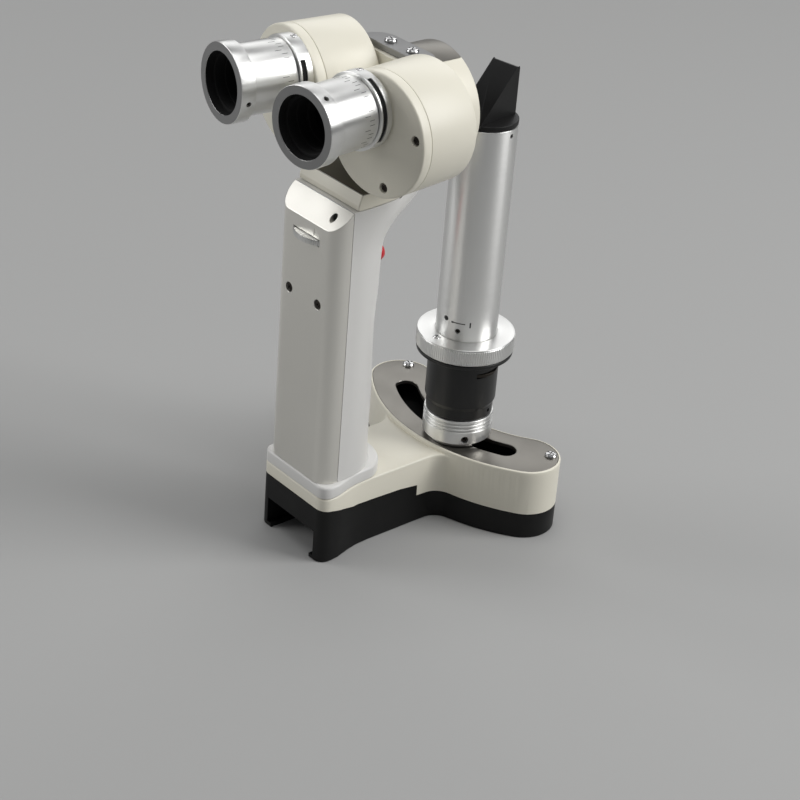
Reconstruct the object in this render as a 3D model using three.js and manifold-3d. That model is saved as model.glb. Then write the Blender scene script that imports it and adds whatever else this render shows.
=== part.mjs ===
// Hand-held slit lamp: a two-eyepiece microscope on a battery handle, and a lamp tower that swings
// on a crescent base about the point in focus. Millimetres, +Z up, +Y towards the patient.
import * as THREE from "three";
import { mergeVertices } from "three/addons/utils/BufferGeometryUtils.js";
import Module from "manifold-3d";

const wasm = await Module();
wasm.setup();
const DEG = Math.PI / 180;
const GAP = 0.3; // between pieces that touch

// Base: a crescent band about the focal axis, joined by a stem to the handle.
const FOCUS_Y = 175; // the vertical axis through the point in focus
const SLOT_R = 70.9; // centre line of the swing slot
const SLOT_HALF = 5.35;
const SLOT_ANGLE = 30.2; // swing to each side
const BAND_R = 71.7;
const BAND_HALF = 16;
const BAND_ANGLE = 38.6;
const LIP = 0.9;
const BAND_TOP = 35.5;
const PLATE_Z = 33.4;
const STEM_TOP = 33.5;
const STEM_HALF = 18.5;
const REAR_HALF = 22.7;
const REAR_Y = 17.2;
const KINK_Y = 46;
const BAND_SEAM = 12.3; // white over black on the crescent
const STEM_SEAM = 21.9; // and on the stem
const REAR_SEAM = 28.1; // and at the rear edge

// Handle.
const HANDLE_HALF = 20.3;
const HANDLE_REAR = 17.6;
const HANDLE_SEAM = 26.3;
const WALL = 1.7;
const FOOT_TOP = 39.6;
const CAP_LOW = 162; // the sloped cap of the rear cover
const CAP_HIGH = 170.4;
const WHEEL = { x: 0, y: 28.7, z: 154.1, r: 14.3, thick: 2.6 };
const BUTTON_Z = 137;

// Head.
const DRUM = { x: 30.1, y: 26.5, z: 209, r: 26.5, long: 31.2, cover: 4.7, yaw: 6.1 };
const OCULAR = { x: -7, z: 9.5, rim: 17, barrel: 15, collar: 16.3, hole: 13.25, long: 35.2 };
const NOSE = { z: 201, r: 26.9, y0: 70.4, y1: 86.5, inlay: 224.8, recess: 23.5 };
const HEAD_HALF = 25.5;
const HEAD_TOP = 230;
const HEAD_LOW = 176.1;

// Tower.
const SWING = 9; // where the tower stands at rest, towards +X
const TUBE_R = 14.1;
const TUBE_TOP = 192.3;
const COLLAR_R = 22.6;
const COLLAR = [82.7, 90.7];
const RING_R = 16.2;
const BODY_R = 16.4;
const FILTER = { offset: 6.3, r: 10.9, z: 74, angle: 2.6 };

const finish = (color, roughness, metalness) =>
  new THREE.MeshStandardMaterial({ color, roughness, metalness });
const cream = finish("#e6e3d6", 0.45, 0);
const white = finish("#e9eae8", 0.4, 0);
const pearl = finish("#c9cac8", 0.4, 0.2);
const black = finish("#1c1c1d", 0.55, 0);
const silver = finish("#d4d5d6", 0.32, 1);
const greyPlate = finish("#9a9996", 0.5, 1);
const steel = finish("#c2c3c5", 0.25, 1);
const brass = finish("#b59a55", 0.35, 1);
const glass = finish("#dfe8ea", 0.05, 0);
const red = finish("#c8202c", 0.4, 0);
const board = finish("#1f6b3a", 0.5, 0);
const lamp = finish("#f2efd8", 0.4, 0);

// ---- helpers ---------------------------------------------------------------------------------

function solid(geometry) {
  const plain = geometry.clone();
  plain.deleteAttribute("normal");
  plain.deleteAttribute("uv");
  const merged = mergeVertices(plain, 1e-4);
  const index = merged.index.array;
  const kept = [];
  for (let i = 0; i < index.length; i += 3) {
    const [a, b, c] = [index[i], index[i + 1], index[i + 2]];
    if (a !== b && b !== c && c !== a) kept.push(a, b, c);
  }
  const build = (triangles) =>
    new wasm.Manifold(
      new wasm.Mesh({
        numProp: 3,
        vertProperties: merged.attributes.position.array,
        triVerts: new Uint32Array(triangles),
      }),
    );
  const made = build(kept);
  return made.volume() < 0 ? build([...kept].reverse()) : made;
}

function geometryOf(body) {
  const { vertProperties, triVerts, numProp } = body.getMesh();
  const position = new Float32Array((vertProperties.length / numProp) * 3);
  for (let i = 0; i < position.length / 3; i++) {
    position.set(vertProperties.subarray(i * numProp, i * numProp + 3), i * 3);
  }
  const geometry = new THREE.BufferGeometry();
  geometry.setAttribute("position", new THREE.BufferAttribute(position, 3));
  geometry.setIndex(new THREE.BufferAttribute(new Uint32Array(triVerts), 1));
  geometry.computeVertexNormals();
  return geometry;
}

function piece(name, body, material) {
  const mesh = new THREE.Mesh(geometryOf(body), material);
  mesh.name = name;
  return mesh;
}

const join = (first, ...rest) => rest.reduce((a, b) => a.add(b), first);
const cut = (first, ...rest) => rest.reduce((a, b) => a.subtract(b), first);

// A profile of [radius, height] turned about Z. A profile off the axis is closed on itself.
function turned(profile, sides = 32) {
  const points = profile.map(([r, z]) => new THREE.Vector2(r, z));
  if (profile[0][0] > 0) points.push(points[0].clone());
  return solid(new THREE.LatheGeometry(points, sides).rotateX(Math.PI / 2));
}

const disc = (r, z0, z1, sides = 28) => turned([[0, z0], [r, z0], [r, z1], [0, z1]], sides);
const ring = (inner, outer, z0, z1, sides = 32) =>
  turned([[inner, z0], [outer, z0], [outer, z1], [inner, z1]], sides);

// The same along Y, for the microscope's parts: its heights become y.
function turnedY(profile, sides = 32) {
  const points = profile.map(([r, y]) => new THREE.Vector2(r, y));
  if (profile[0][0] > 0) points.push(points[0].clone());
  return solid(new THREE.LatheGeometry(points, sides));
}

const discY = (r, y0, y1, sides = 28) => turnedY([[0, y0], [r, y0], [r, y1], [0, y1]], sides);

function plate(shape, z0, z1, curveSegments = 12) {
  const options = { depth: z1 - z0, bevelEnabled: false, curveSegments };
  return solid(new THREE.ExtrudeGeometry(shape, options).translate(0, 0, z0));
}

// An outline of [y, z] points pushed through from x0 to x1.
function slab(outline, x0, x1) {
  const shape = new THREE.Shape(outline.map(([y, z]) => new THREE.Vector2(y, z)));
  const options = { depth: x1 - x0, bevelEnabled: false };
  const geometry = new THREE.ExtrudeGeometry(shape, options);
  geometry.rotateZ(Math.PI / 2).rotateY(Math.PI / 2);
  return solid(geometry.translate(x0, 0, 0));
}

function block(x0, x1, y0, y1, z0, z1) {
  const box = new THREE.BoxGeometry(x1 - x0, y1 - y0, z1 - z0);
  return solid(box.translate((x0 + x1) / 2, (y0 + y1) / 2, (z0 + z1) / 2));
}

function moved(body, x, y, z) {
  return body.translate([x, y, z]);
}

function roundedRect(x0, x1, y0, y1, r) {
  const shape = new THREE.Shape();
  shape.absarc(x1 - r, y0 + r, r, -Math.PI / 2, 0);
  shape.absarc(x1 - r, y1 - r, r, 0, Math.PI / 2);
  shape.absarc(x0 + r, y1 - r, r, Math.PI / 2, Math.PI);
  shape.absarc(x0 + r, y0 + r, r, Math.PI, 1.5 * Math.PI);
  return shape;
}

// A band with round ends that follows a circle about the focal axis.
function bandShape(radius, half, endAngle) {
  const a0 = -Math.PI / 2 - endAngle * DEG;
  const a1 = -Math.PI / 2 + endAngle * DEG;
  const at = (a) => [radius * Math.cos(a), FOCUS_Y + radius * Math.sin(a)];
  const shape = new THREE.Shape();
  shape.absarc(0, FOCUS_Y, radius + half, a0, a1, false);
  shape.absarc(...at(a1), half, a1, a1 + Math.PI, false);
  shape.absarc(0, FOCUS_Y, radius - half, a1, a0, true);
  shape.absarc(...at(a0), half, a0 + Math.PI, a0 + 2 * Math.PI, false);
  return shape;
}

// Rings of points, all of one length, skinned into a closed body with flat ends.
function loft(rings) {
  const n = rings[0].length;
  const centre = (loop) => {
    const sum = loop.reduce((s, p) => s.add(p), new THREE.Vector3());
    return sum.divideScalar(loop.length);
  };
  const vertices = [...rings.flat(), centre(rings[0]), centre(rings.at(-1))];
  const index = [];
  for (let k = 0; k < rings.length - 1; k++) {
    for (let i = 0; i < n; i++) {
      const [a, b] = [k * n + i, k * n + ((i + 1) % n)];
      index.push(a, b, a + n, b, b + n, a + n);
    }
  }
  const [low, high] = [vertices.length - 2, vertices.length - 1];
  const top = (rings.length - 1) * n;
  for (let i = 0; i < n; i++) {
    const j = (i + 1) % n;
    index.push(low, j, i, high, top + i, top + j);
  }
  const geometry = new THREE.BufferGeometry().setFromPoints(vertices);
  geometry.setIndex(index);
  return solid(geometry);
}

// ---- base ------------------------------------------------------------------------------------

const FILLET = 9; // in the corner between stem and crescent

function stemShape(grow) {
  const side = STEM_HALF + grow;
  const back = REAR_HALF + grow;
  const r = 5;
  const shape = new THREE.Shape();
  shape.absarc(back - r, REAR_Y - grow + r, r, -Math.PI / 2, 0);
  shape.lineTo(back, 25);
  shape.lineTo(side, KINK_Y);
  shape.lineTo(side, 92);
  shape.lineTo(-side, 92);
  shape.lineTo(-side, KINK_Y);
  shape.lineTo(-back, 25);
  shape.absarc(-back + r, REAR_Y - grow + r, r, Math.PI, 1.5 * Math.PI);
  return shape;
}

// The web that rounds the inner corner, tangent to the stem's side and to the crescent's edge.
function cornerWeb(side, z0, z1) {
  const outer = BAND_R + BAND_HALF;
  const cx = STEM_HALF + FILLET;
  const cy = FOCUS_Y - Math.sqrt((outer + FILLET) ** 2 - cx ** 2);
  const toBand = Math.atan2(FOCUS_Y - cy, -cx);
  const shape = new THREE.Shape();
  shape.moveTo(side * (STEM_HALF - 3), cy);
  const steps = 6;
  for (let i = 0; i <= steps; i++) {
    const a = Math.PI + ((toBand - Math.PI) * i) / steps;
    shape.lineTo(side * (cx + FILLET * Math.cos(a)), cy + FILLET * Math.sin(a));
  }
  shape.lineTo(side * (STEM_HALF - 3), cy + 16);
  return plate(shape, z0, z1);
}

function footprint(z0, z1) {
  return join(
    plate(bandShape(BAND_R, BAND_HALF, BAND_ANGLE), z0, z1, 12),
    plate(stemShape(0), z0, z1, 6),
    cornerWeb(1, z0, z1),
    cornerWeb(-1, z0, z1),
  );
}

// The space above the line where the painted casting meets the black cradle.
const STEP_Y = 76.4;

function aboveSeam(offset) {
  const seam = [
    [REAR_Y - 5, REAR_SEAM], [REAR_Y + 6, 27], [37, 22.6], [KINK_Y, STEM_SEAM], [66, 21.2],
    [STEP_Y, 19.9], [STEP_Y, 14.3], [90, 13.7], [110, 13], [150, BAND_SEAM],
  ].map(([y, z]) => [y - (y === STEP_Y ? offset : 0), z - offset]);
  return slab([...seam, [150, 60], [REAR_Y - 5, 60]], -80, 80);
}

const BATTERY = { half: 16.7, y0: 22, y1: 41.8, z0: 15.8, z1: 71.3 };

function batteryWell(z0, z1) {
  const { half, y0, y1 } = BATTERY;
  return plate(roundedRect(-half - 0.4, half + 0.4, y0 - 0.4, y1 + 0.4, 4), z0, z1, 4);
}

function baseCasting() {
  const raised = cut(
    footprint(5, BAND_TOP),
    plate(stemShape(4), STEM_TOP, 60, 4).subtract(
      plate(bandShape(BAND_R, BAND_HALF, BAND_ANGLE), STEM_TOP - 1, 61, 12),
    ),
    plate(bandShape(BAND_R, BAND_HALF - LIP, BAND_ANGLE), PLATE_Z - GAP, 60, 12),
    plate(bandShape(SLOT_R, 8.9, BAND_ANGLE), 22, 60, 10),
    batteryWell(5, 60),
  );
  return piece("base_casting", raised.intersect(aboveSeam(0)), cream);
}

const CHANNEL = { half: 17, height: 15, toe: 2.6, toeHigh: 2.2, end: 62 };

function baseCradle() {
  const { half, height, toe, toeHigh, end } = CHANNEL;
  const channel = join(
    block(-half, half, REAR_Y - 5, end, toeHigh, height),
    block(-half + toe, half - toe, REAR_Y - 5, end, -5, toeHigh + 1),
  );
  const body = cut(
    footprint(0, BAND_TOP),
    aboveSeam(GAP),
    channel,
    batteryWell(height - 1, 60),
    batteryWell(-5, toeHigh + 1),
    plate(bandShape(SLOT_R, 7, BAND_ANGLE), 4, 60, 10),
  );
  return piece("base_cradle", body, black);
}

function slotPlate() {
  const band = plate(bandShape(BAND_R, BAND_HALF - LIP - 0.25, BAND_ANGLE), PLATE_Z, 35.3, 12);
  const slot = plate(bandShape(SLOT_R, SLOT_HALF, SLOT_ANGLE), 30, 40, 10);
  const holes = [-1, 1].map((side) => moved(disc(1.6, 30, 40, 16), side * 51.5, 128.1, 0));
  return piece("slot_plate", cut(band, slot, ...holes), greyPlate);
}

// A pan-head screw with a cross slot, head up, its seat at z = 0.
function panScrew(r, high, shank, long) {
  const profile = [
    [0, -long], [shank, -long], [shank, 0], [r, 0], [r, high * 0.45], [r * 0.7, high], [0, high],
  ];
  const arms = [block(-r * 0.6, r * 0.6, -0.3, 0.3, high * 0.5, high + 1)];
  arms.push(block(-0.3, 0.3, -r * 0.6, r * 0.6, high * 0.5, high + 1));
  return cut(turned(profile, 12), ...arms);
}

function slotPlateScrew(name, side) {
  const screw = moved(panScrew(2.7, 1.7, 1.2, 1.4), side * 51.5, 128.1, 35.6);
  return piece(name, screw, steel);
}

// ---- handle ----------------------------------------------------------------------------------

function footShape(inset) {
  const back = REAR_HALF - inset;
  const front = HANDLE_HALF - 1.6 - inset;
  const shape = new THREE.Shape();
  const r = 5 - inset;
  shape.absarc(back - r, REAR_Y + inset + r, r, -Math.PI / 2, 0);
  shape.lineTo(front, 45);
  shape.absellipse(0, 45, front, 15.2 - inset, 0, Math.PI);
  shape.lineTo(-back, REAR_Y + inset + r);
  shape.absarc(-back + r, REAR_Y + inset + r, r, Math.PI, 1.5 * Math.PI);
  return shape;
}

function handleFoot() {
  const foot = join(
    plate(footShape(0), STEM_TOP + GAP, FOOT_TOP - 0.8, 8),
    plate(footShape(0.8), STEM_TOP + GAP, FOOT_TOP, 8),
  );
  return piece("handle_foot", cut(foot, batteryWell(0, 60)), white);
}

function rearShape(inset, front) {
  const half = HANDLE_HALF - inset;
  const r = 7 - inset;
  const y = HANDLE_REAR + inset;
  const shape = new THREE.Shape();
  shape.moveTo(half, front);
  shape.lineTo(-half, front);
  shape.absarc(-half + r, y + r, r, Math.PI, 1.5 * Math.PI);
  shape.absarc(half - r, y + r, r, 1.5 * Math.PI, 2 * Math.PI);
  return shape;
}

// What lies above the sloped cap, lowered for the inside.
function aboveCap(drop) {
  const rise = (CAP_HIGH - CAP_LOW) / (HANDLE_SEAM - HANDLE_REAR);
  const low = CAP_LOW - drop - 10 * rise;
  const high = CAP_LOW - drop + (60 - HANDLE_REAR) * rise;
  return slab([[HANDLE_REAR - 10, low], [60, high], [60, 300], [HANDLE_REAR - 10, 300]], -40, 40);
}

const COVER_SCREWS = [[-9.9, 126], [9.9, 126]];

function rearCover() {
  const outside = plate(rearShape(0, HANDLE_SEAM), FOOT_TOP + GAP, 175, 8).subtract(aboveCap(0));
  const hollow = plate(rearShape(WALL, HANDLE_SEAM + 5), FOOT_TOP - 2, 175, 6);
  const window = join(
    block(WHEEL.x - 9.6, WHEEL.x + 9.6, 0, 26, WHEEL.z - 1.7, WHEEL.z + 1.7),
    block(WHEEL.x - 11.5, WHEEL.x + 11.5, HANDLE_REAR + 0.4, 26, WHEEL.z - 1.7, WHEEL.z + 1.7),
  );
  const wells = COVER_SCREWS.map(([x, z]) => moved(discY(2.4, 10, 30, 20), x, 0, z));
  const body = cut(
    outside,
    hollow.subtract(aboveCap(WALL * 1.4)),
    window,
    moved(discY(1.6, 10, 40, 16), 12, 0, 166.3),
    ...wells,
  );
  return piece("rear_cover", body, pearl);
}

function coverScrew(name, [x, z]) {
  const head = cut(discY(2.1, HANDLE_REAR + 0.6, HANDLE_REAR + 2.2, 20), discY(1, 0, HANDLE_REAR + 1.4, 6));
  return piece(name, moved(head.add(discY(1, HANDLE_REAR + 2, HANDLE_REAR + 6, 12)), x, 0, z), steel);
}

function indicator() {
  return piece("cap_indicator", moved(discY(1.3, 22.8, 26, 16), 12, 0, 166.3), black);
}

// Front edge of the grip at each height: finger swells below, then the neck that carries the head.
const GRIP_FRONT = [
  [39.9, 55.4], [46, 54.6], [60, 54.2], [74, 54.3], [88, 53.7], [101, 53.0], [114, 53.0], [127, 54.1],
  [138, 54.3], [147, 54.9], [150.5, 55.9], [154.5, 58.8], [159, 64], [163.5, 71.5], [168, 77], [175.8, 80.3],
];

function gripRing(z, front, inset, rear) {
  const half = HANDLE_HALF - inset;
  const steps = 12;
  const loop = [];
  for (let i = 0; i <= steps; i++) {
    const a = (Math.PI * i) / steps;
    const [c, s] = [Math.cos(a), Math.sin(a)];
    loop.push(new THREE.Vector3(half * c, 30 + (front - inset - 30) * s, z));
  }
  loop.push(new THREE.Vector3(-half, rear, z));
  loop.push(new THREE.Vector3(half, rear, z));
  return loop;
}

function gripShell() {
  const outside = loft(GRIP_FRONT.map(([z, front]) => gripRing(z, front, 0, HANDLE_SEAM + GAP)));
  const rings = GRIP_FRONT.slice(0, -1).map(([z, front]) => gripRing(z, front, WALL, HANDLE_SEAM - 8));
  const inside = loft([gripRing(30, 55, WALL, HANDLE_SEAM - 8), ...rings]);
  const hole = moved(discY(4.6, 40, 70, 24), 0, 0, BUTTON_Z);
  const nose = moved(discY(NOSE.r + GAP, 60, 100, 40), 0, 0, NOSE.z);
  const body = cut(outside, inside, hole, saddleRebate(), nose);
  return piece("grip_shell", body, white);
}

// The saddle closes the neck behind the head, and a rebate in the grip takes it.
const SADDLE = { rear: 30.2, front: 54, low: 170.8, high: 177.9 };

function saddleRebate() {
  const { front, low } = SADDLE;
  return block(-40, 40, 0, front + GAP, low - GAP, 300);
}

function shutterButton() {
  const cap = turnedY([[0, 46], [5.6, 46], [5.6, 51], [4.2, 51], [4.2, 59.4], [3.2, 60.3], [0, 60.3]], 24);
  return piece("shutter_button", moved(cap, 0, 0, BUTTON_Z), red);
}

function buttonSwitch() {
  const body = join(block(-6, 6, 36, 43.2, -6, 6), discY(1.6, 43, 44.3, 12));
  return piece("button_switch", moved(body, 0, 0, BUTTON_Z), black);
}

function dimmerWheel() {
  const { x, y, z, r, thick } = WHEEL;
  const teeth = 30;
  const shape = new THREE.Shape();
  for (let i = 0; i < teeth * 2; i++) {
    const a = (Math.PI * i) / teeth;
    const reach = i % 2 ? r : r - 0.45;
    shape[i ? "lineTo" : "moveTo"](reach * Math.cos(a), reach * Math.sin(a));
  }
  const wheel = plate(shape, -thick / 2, thick / 2).subtract(disc(1.5, -9, 9, 16));
  return piece("dimmer_wheel", moved(wheel, x, y, z), silver);
}

function dimmerPot() {
  const { x, y, z } = WHEEL;
  const body = join(block(-5.5, 5.5, -5.5, 5.5, -9, -2.4), disc(1.2, -3, 2.2, 16));
  return piece("dimmer_potentiometer", moved(body, x, y, z), black);
}

function batteryPack() {
  const { half, y0, y1, z0, z1 } = BATTERY;
  return piece("battery_pack", plate(roundedRect(-half, half, y0, y1, 4), z0, z1, 4), black);
}

function batteryContacts() {
  const carrier = block(-14, 14, 25, 40, 75, 77.5);
  const blades = [-8, 0, 8].map((x) => block(x - 1.5, x + 1.5, 30, 34, 71.8, 75.5));
  return piece("battery_contacts", join(carrier, ...blades), brass);
}

function circuitBoard() {
  const body = join(
    block(-15.5, 15.5, 30, 31.6, 88, 128),
    block(-9, -2, 31.5, 34.5, 96, 103),
    block(3, 11, 31.5, 33.5, 108, 120),
    block(-11, -5, 31.5, 36, 114, 124),
  );
  return piece("driver_board", body, board);
}

// ---- head ------------------------------------------------------------------------------------

const BORE = { x: 10.2, r: 8.6, z: 209 };

function headCasting() {
  const rear = new THREE.Shape();
  const point = DRUM.y + DRUM.long - 2.2;
  rear.moveTo(0, point);
  rear.lineTo(HEAD_HALF, point + HEAD_HALF * Math.tan(DRUM.yaw * DEG));
  rear.lineTo(HEAD_HALF, NOSE.y0);
  rear.lineTo(-HEAD_HALF, NOSE.y0);
  rear.lineTo(-HEAD_HALF, point + HEAD_HALF * Math.tan(DRUM.yaw * DEG));
  const profile = new THREE.Shape();
  const wide = HEAD_HALF + 1;
  profile.moveTo(-HANDLE_HALF + 1, HEAD_LOW);
  profile.lineTo(HANDLE_HALF - 1, HEAD_LOW);
  profile.quadraticCurveTo(wide, 184, wide, 196);
  profile.lineTo(wide, HEAD_TOP - 3.2);
  profile.lineTo(-wide, HEAD_TOP - 3.2);
  profile.lineTo(-wide, 196);
  profile.quadraticCurveTo(-wide, 184, -HANDLE_HALF + 1, HEAD_LOW);
  const front = { depth: 60, bevelEnabled: false, curveSegments: 8 };
  const across = solid(new THREE.ExtrudeGeometry(profile, front).rotateX(Math.PI / 2).translate(0, 90, 0));
  const middle = plate(rear, 170, 240).intersect(across);
  const { z, r, y0, y1, inlay, recess } = NOSE;
  const nose = moved(discY(r, y0 - 1, y1, 56).subtract(discY(recess, y1 - 2.4, 100, 36)), 0, 0, z);
  const lowNose = nose.subtract(block(-40, 40, 60, 100, inlay, 250));
  const bores = [-1, 1].map((side) => moved(discY(BORE.r, 30, 100, 24), side * BORE.x, 0, BORE.z));
  return piece("head_casting", cut(join(middle, lowNose), ...bores), cream);
}

function headTopPlate() {
  const outline = new THREE.Shape();
  outline.moveTo(21, 58);
  outline.absarc(11, 59.8, 10, 0, Math.PI / 2);
  outline.absarc(-11, 59.8, 10, Math.PI / 2, Math.PI);
  outline.lineTo(-21, 58);
  const holes = [-1, 1].map((side) => moved(disc(1.4, 220, 240, 12), side * 7.1, 63, 0));
  return piece("head_top_plate", cut(plate(outline, HEAD_TOP - 2.9, HEAD_TOP, 3), ...holes), silver);
}

function topPlateScrew(name, side) {
  const screw = moved(panScrew(2.6, 1.6, 1.1, 2.4), side * 7.1, 63, HEAD_TOP + GAP);
  return piece(name, screw, steel);
}

function saddleBlock() {
  const { rear, front, low, high } = SADDLE;
  const outline = [
    [rear - 1.7, low], [rear - 1.7, low + 2.4], [rear, high - 1], [rear + 1, high], [front, high], [front, low],
  ];
  const around = loft([low - 1, high + 1].map((z) => gripRing(z, 80, 0, 20)));
  return piece("neck_saddle", slab(outline, -40, 40).intersect(around), cream);
}

// The strip of bare metal let into the top of the round front.
function noseInlay() {
  const { z, r, y0, y1, inlay } = NOSE;
  const round = moved(discY(r, y0 + GAP, y1, 56), 0, 0, z);
  return piece("nose_inlay", round.intersect(block(-40, 40, 0, 100, inlay + GAP, 250)), greyPlate);
}

function objectivePlate() {
  const { z, y1, recess } = NOSE;
  const face = moved(discY(recess - GAP, y1 - 2, y1 - 0.5, 36), 0, 0, z);
  const holes = [-1, 1].map((side) => moved(discY(8.9, 50, 100, 24), side * BORE.x, 0, BORE.z));
  return piece("objective_plate", cut(face, ...holes), black);
}

// A lens with two bowed faces, turned about Y.
function lensY(r, y, edge, bow, sides = 20) {
  const steps = 2;
  const profile = [];
  for (let i = 0; i <= steps; i++) {
    const t = i / steps;
    profile.push([r * t, y - edge / 2 - bow * (1 - t * t)]);
  }
  for (let i = steps; i >= 0; i--) {
    const t = i / steps;
    profile.push([r * t, y + edge / 2 + bow * (1 - t * t)]);
  }
  return turnedY(profile, sides);
}

function objectiveLens(name, side) {
  return piece(name, moved(lensY(BORE.r - GAP, 80, 2.4, 1.1), side * BORE.x, 0, BORE.z), glass);
}

// One prism drum in its own frame: origin at the centre of its rear face, +Y along its axis.
function drumBody(name, side) {
  const { r, long, cover } = DRUM;
  const y0 = cover + GAP;
  const shell = turnedY([
    [0, long], [r - 0.8, long], [r, long - 0.8], [r, y0], [r - 2.6, y0], [r - 2.6, long - 2.8],
    [0, long - 2.8],
  ], 40);
  const port = moved(discY(8.4, long - 6, long + 4, 28), -side * 13.6, 0, 0);
  return piece(name, cut(shell, port), cream);
}

function drumCover(name, side) {
  const { r, cover } = DRUM;
  const face = turnedY([[0, 0], [r - 0.9, 0], [r, 0.9], [r, cover], [0, cover]], 40);
  const bore = moved(discY(12.1, -2, 8, 36), side * OCULAR.x, 0, OCULAR.z);
  const screws = drumScrewPlaces(side).map(([x, z]) => moved(discY(2.3, -1, 1.6, 16), x, 0, z));
  return piece(name, cut(face, bore, ...screws), cream);
}

function drumScrewPlaces(side) {
  const reach = DRUM.r - 4.6;
  return [12, -74, 192].map((a) => [side * reach * Math.cos(a * DEG), reach * Math.sin(a * DEG)]);
}

function drumPrism(name, side) {
  const outline = new THREE.Shape();
  outline.moveTo(-17.5, -8);
  outline.lineTo(2, -8);
  outline.lineTo(8, 4);
  outline.lineTo(1, 17);
  outline.lineTo(-17.5, 2);
  const options = { depth: 16, bevelEnabled: false };
  const body = solid(new THREE.ExtrudeGeometry(outline, options).rotateX(Math.PI / 2).translate(0, 25, 0));
  return piece(name, side > 0 ? body : body.mirror([1, 0, 0]), glass);
}

// The eyepiece in its own frame: origin where its axis meets the drum, -Y towards the eye.
function ocularSocket(name, side) {
  const { collar } = OCULAR;
  const profile = [
    [10.4, 4.2], [10.4, -0.9], [13.7, -0.9], [13.7, -7], [collar - 0.4, -7], [collar, -6.6],
    [collar, -0.7], [collar - 0.4, -GAP], [11.8, -GAP], [11.8, 4.2],
  ];
  const body = turnedY(profile, 36);
  const wedge = new THREE.Shape();
  wedge.moveTo(0, 0);
  const [from, to] = side > 0 ? [-62, 52] : [128, 242];
  for (let i = 0; i <= 8; i++) {
    const a = (from + ((to - from) * i) / 8) * DEG;
    wedge.lineTo(30 * Math.cos(a), 30 * Math.sin(a));
  }
  const options = { depth: 2, bevelEnabled: false };
  const slot = solid(new THREE.ExtrudeGeometry(wedge, options).rotateX(Math.PI / 2).translate(0, -3.9, 0));
  return piece(name, cut(body, slot), silver);
}

function ocularBarrel(name) {
  const { barrel, long } = OCULAR;
  const profile = [
    [12.2, -1.6], [13.3, -1.6], [13.3, -7.3], [barrel, -7.3], [barrel, 2.4 - long], [13.4, 2.4 - long],
    [13.4, -9], [12.2, -9],
  ];
  return piece(name, turnedY(profile, 32), silver);
}

function ocularRim(name) {
  const { rim, hole, long, barrel } = OCULAR;
  const profile = [
    [hole, -long], [rim - 0.5, -long], [rim, 0.5 - long], [rim, 6.8 - long], [barrel + GAP, 6.8 - long],
    [barrel + GAP, 2.1 - long], [hole, 2.1 - long],
  ];
  return piece(name, turnedY(profile, 32), silver);
}

function lensCell(name) {
  const profile = [[9.6, -12], [13.1, -12], [13.1, -30.4], [11.4, -30.4], [11.4, -24], [9.6, -24]];
  return piece(name, turnedY(profile, 24), black);
}

function eyeLens(name) {
  return piece(name, lensY(9.3, -17.6, 2, 1.4), glass);
}

function drumGroup(word, side) {
  const group = new THREE.Group();
  group.position.set(side * DRUM.x, DRUM.y, DRUM.z);
  group.rotation.z = side * DRUM.yaw * DEG;
  group.add(drumBody(word + "_prism_housing", side), drumCover(word + "_housing_cover", side));
  group.add(drumPrism(word + "_prism", side));
  const ocular = new THREE.Group();
  ocular.position.set(side * OCULAR.x, 0, OCULAR.z);
  ocular.add(ocularSocket(word + "_eyepiece_socket", side));
  ocular.add(ocularBarrel(word + "_dioptre_barrel"), ocularRim(word + "_eyepiece_rim"));
  ocular.add(lensCell(word + "_lens_cell"), eyeLens(word + "_eye_lens"));
  group.add(ocular);
  return group;
}

// ---- tower, in its own frame: +Y towards the point in focus ------------------------------------

function swingPivot() {
  const body = join(disc(7.9, 25, 31.2), disc(4.9, 31, 42, 32));
  return piece("swing_pivot", body, brass);
}

function pivotWasher() {
  return piece("pivot_washer", ring(5.3, 14, 35.8, 38, 28), steel);
}

function lampBase() {
  const groove = (z) => [[RING_R, z - 0.8], [RING_R - 0.9, z], [RING_R, z + 0.8]];
  const profile = [
    [5.3, 38.3], [RING_R - 0.4, 38.3], [RING_R, 38.7], [RING_R, 43.4], ...groove(44.7), ...groove(46.6),
    ...groove(48.5), [RING_R - 0.3, 50.1], [12, 50.1], [12, 42.4], [5.3, 42.4],
  ];
  return piece("lamp_base_ring", turned(profile, 30), silver);
}

function heatSink() {
  const profile = [[0, 42.7]];
  for (let i = 0; i < 3; i++) {
    const z = 42.7 + i * 2.1;
    profile.push([11, z], [11, z + 1.1], [6, z + 1.1], [6, z + 2.1]);
  }
  profile.push([11, 49], [11, 50.6], [0, 50.6]);
  return piece("led_heat_sink", turned(profile, 20), greyPlate);
}

function ledModule() {
  const profile = [[0, 50.9], [9.5, 50.9], [9.5, 52.5], [2.6, 52.5], [2.4, 53.6], [1.6, 54.6], [0, 55]];
  return piece("led_module", turned(profile, 16), lamp);
}

function condenserLens() {
  const profile = [[0, 58.5], [8, 59.2], [11.8, 60.8], [11.8, 62.6], [8, 65.4], [4, 67], [0, 67.4]];
  return piece("condenser_lens", turned(profile, 20), glass);
}

function lampHousing() {
  const profile = [
    [12.2, 50.4], [15.5, 50.4], [15.5, 55.4], [BODY_R, 57.4], [BODY_R, 80.3], [12.6, 80.3], [12.6, 97],
    [11.4, 97], [11.4, 78.6], [12.9, 78.6], [12.9, 56.8], [12.2, 56.8],
  ];
  const { offset, r, z, angle } = FILTER;
  const slot = disc(r + 0.5, z - 1.2, z + 1.2, 40).translate([offset, 0, 0]).rotate([0, 0, angle]);
  const screwHole = discY(1.1, -20, -10, 12).translate([0, 0, 53]).rotate([0, 0, 99]);
  const pinSlots = [82, 84.6].map((h) =>
    block(-1.5, 1.5, -16, -9, h - 0.4, h + 0.4),
  );
  return piece("lamp_housing", cut(turned(profile, 36), slot, screwHole, ...pinSlots), black);
}

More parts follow.
